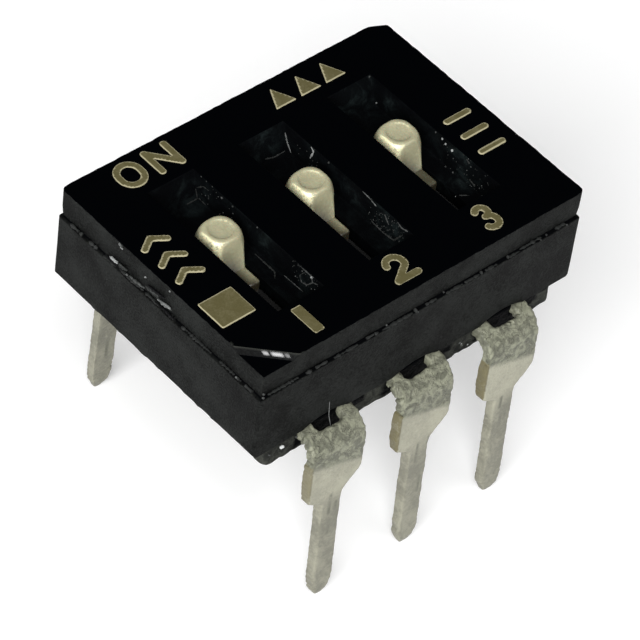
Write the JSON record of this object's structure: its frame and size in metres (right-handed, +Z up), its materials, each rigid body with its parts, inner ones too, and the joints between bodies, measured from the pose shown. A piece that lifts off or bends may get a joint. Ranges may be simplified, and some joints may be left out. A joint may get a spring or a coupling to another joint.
{
  "type": "dip switch",
  "caption": "Slide DIP switch with flush conical knobs in open pockets, a two-part black moulded housing and two rows of flat through-hole pins.",
  "frame": {"origin": "midway between the two rows of pins and midway along them, level with the pin tips", "axes": "+X runs along the positions from 1 to 3, +Y points to the side that the sliders move to for ON, +Z is up, away from the circuit board"},
  "size_m": [0.0092, 0.0078, 0.0079],
  "materials": {
    "base_plastic": "black glass-filled moulding, fine matt texture, grey flash along the parting line",
    "cover_plastic": "black moulding, glossy top face, matt sides, dusty pockets",
    "slider_plastic": "cream moulded plastic, satin",
    "terminal_metal": "dull tin plate over copper alloy, bare alloy on the sheared edges",
    "contact_metal": "thin gold plate over spring copper alloy",
    "ink": "thin khaki printed ink, slightly uneven"
  },
  "bodies": {
    "housing": {"base": "base_plastic", "cover": "cover_plastic", "terminal_1": "terminal_metal", "terminal_2": "terminal_metal", "terminal_3": "terminal_metal", "terminal_4": "terminal_metal", "terminal_5": "terminal_metal", "terminal_6": "terminal_metal", "on_legend": "ink", "position_numbers": "ink", "pin_one_square": "ink", "direction_arrows": "ink", "left_end_marks": "ink", "right_end_marks": "ink"},
    "switch_1": {"slider_1": "slider_plastic", "bridge_contact_1": "contact_metal"},
    "switch_2": {"slider_2": "slider_plastic", "bridge_contact_2": "contact_metal"},
    "switch_3": {"slider_3": "slider_plastic", "bridge_contact_3": "contact_metal"}
  },
  "joints": [
    {"name": "slide_1", "type": "slide", "parent": "housing", "child": "switch_1", "axis": [0, 1, 0], "range_m": [-0.0009, 0]},
    {"name": "slide_2", "type": "slide", "parent": "housing", "child": "switch_2", "axis": [0, 1, 0], "range_m": [-0.0009, 0]},
    {"name": "slide_3", "type": "slide", "parent": "housing", "child": "switch_3", "axis": [0, 1, 0], "range_m": [-0.0009, 0]}
  ]
}
